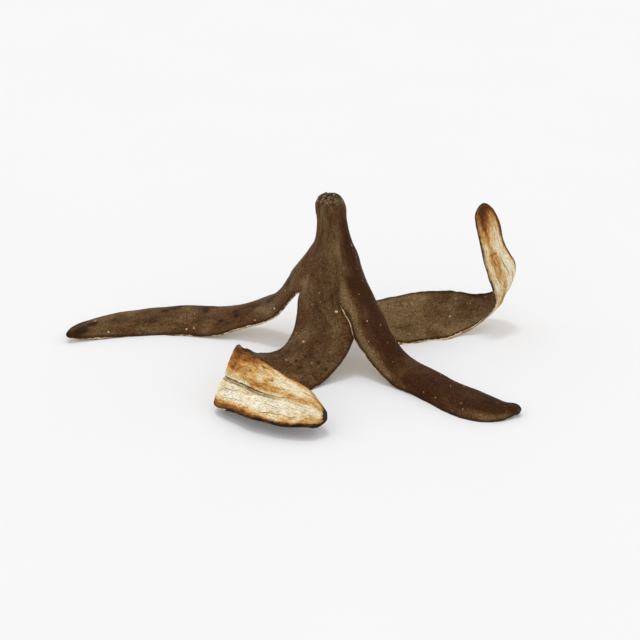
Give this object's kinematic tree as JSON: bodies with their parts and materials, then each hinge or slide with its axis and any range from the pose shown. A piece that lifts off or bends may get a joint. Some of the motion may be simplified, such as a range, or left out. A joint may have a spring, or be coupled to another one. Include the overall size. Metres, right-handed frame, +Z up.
{
  "type": "banana peel",
  "caption": "Dried brown banana peel standing on its spread strips, stem on top, with a folded strip and an upward curl.",
  "frame": {"origin": "on the floor, below the centre of the bounding box", "axes": "+X across the front from the flat strip to the curled strip, +Y from the folded strip to the back, +Z up along the stem"},
  "size_m": [0.2372, 0.1344, 0.086],
  "materials": {
    "skin": "matte, dried brown outer skin",
    "pith": "matte, cream inner side with ochre stains",
    "stem_end": "rough, fibrous cut end"
  },
  "bodies": {
    "root": {"peel": "skin"}
  },
  "joints": []
}
